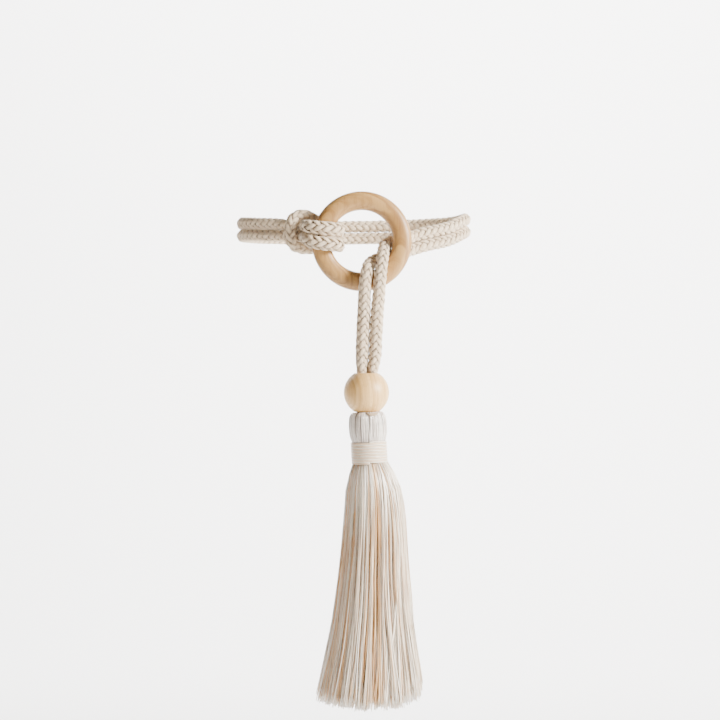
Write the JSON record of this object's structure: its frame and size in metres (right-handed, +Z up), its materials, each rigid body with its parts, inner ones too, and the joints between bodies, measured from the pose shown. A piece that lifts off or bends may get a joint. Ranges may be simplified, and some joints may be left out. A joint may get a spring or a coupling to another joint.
{
  "type": "curtain tieback",
  "caption": "Curtain tieback: a doubled braided cotton rope that loops round a gathered curtain, with a wooden ring, a wooden bead and a silky tassel.",
  "frame": {"origin": "the middle of the rope's loop, where the gathered curtain's centre goes", "axes": "+Z up along the curtain, -Y out of the front where the ring and tassel hang, +X to the right seen from the front"},
  "size_m": [0.1342, 0.1273, 0.2844],
  "materials": {
    "cotton_rope": "matte braided cotton, slightly fuzzy, natural cream",
    "ring_wood": "smooth pale wood with fine grain, satin",
    "bead_wood": "smooth paler wood with faint upright grain, satin",
    "tassel_yarn": "silky ivory threads with a peach cast in the depths",
    "band_thread": "silky wound thread"
  },
  "bodies": {
    "root": {"rope": "cotton_rope", "ring": "ring_wood", "bead": "bead_wood", "tassel": "tassel_yarn", "neck_wrap": "band_thread"}
  },
  "joints": []
}
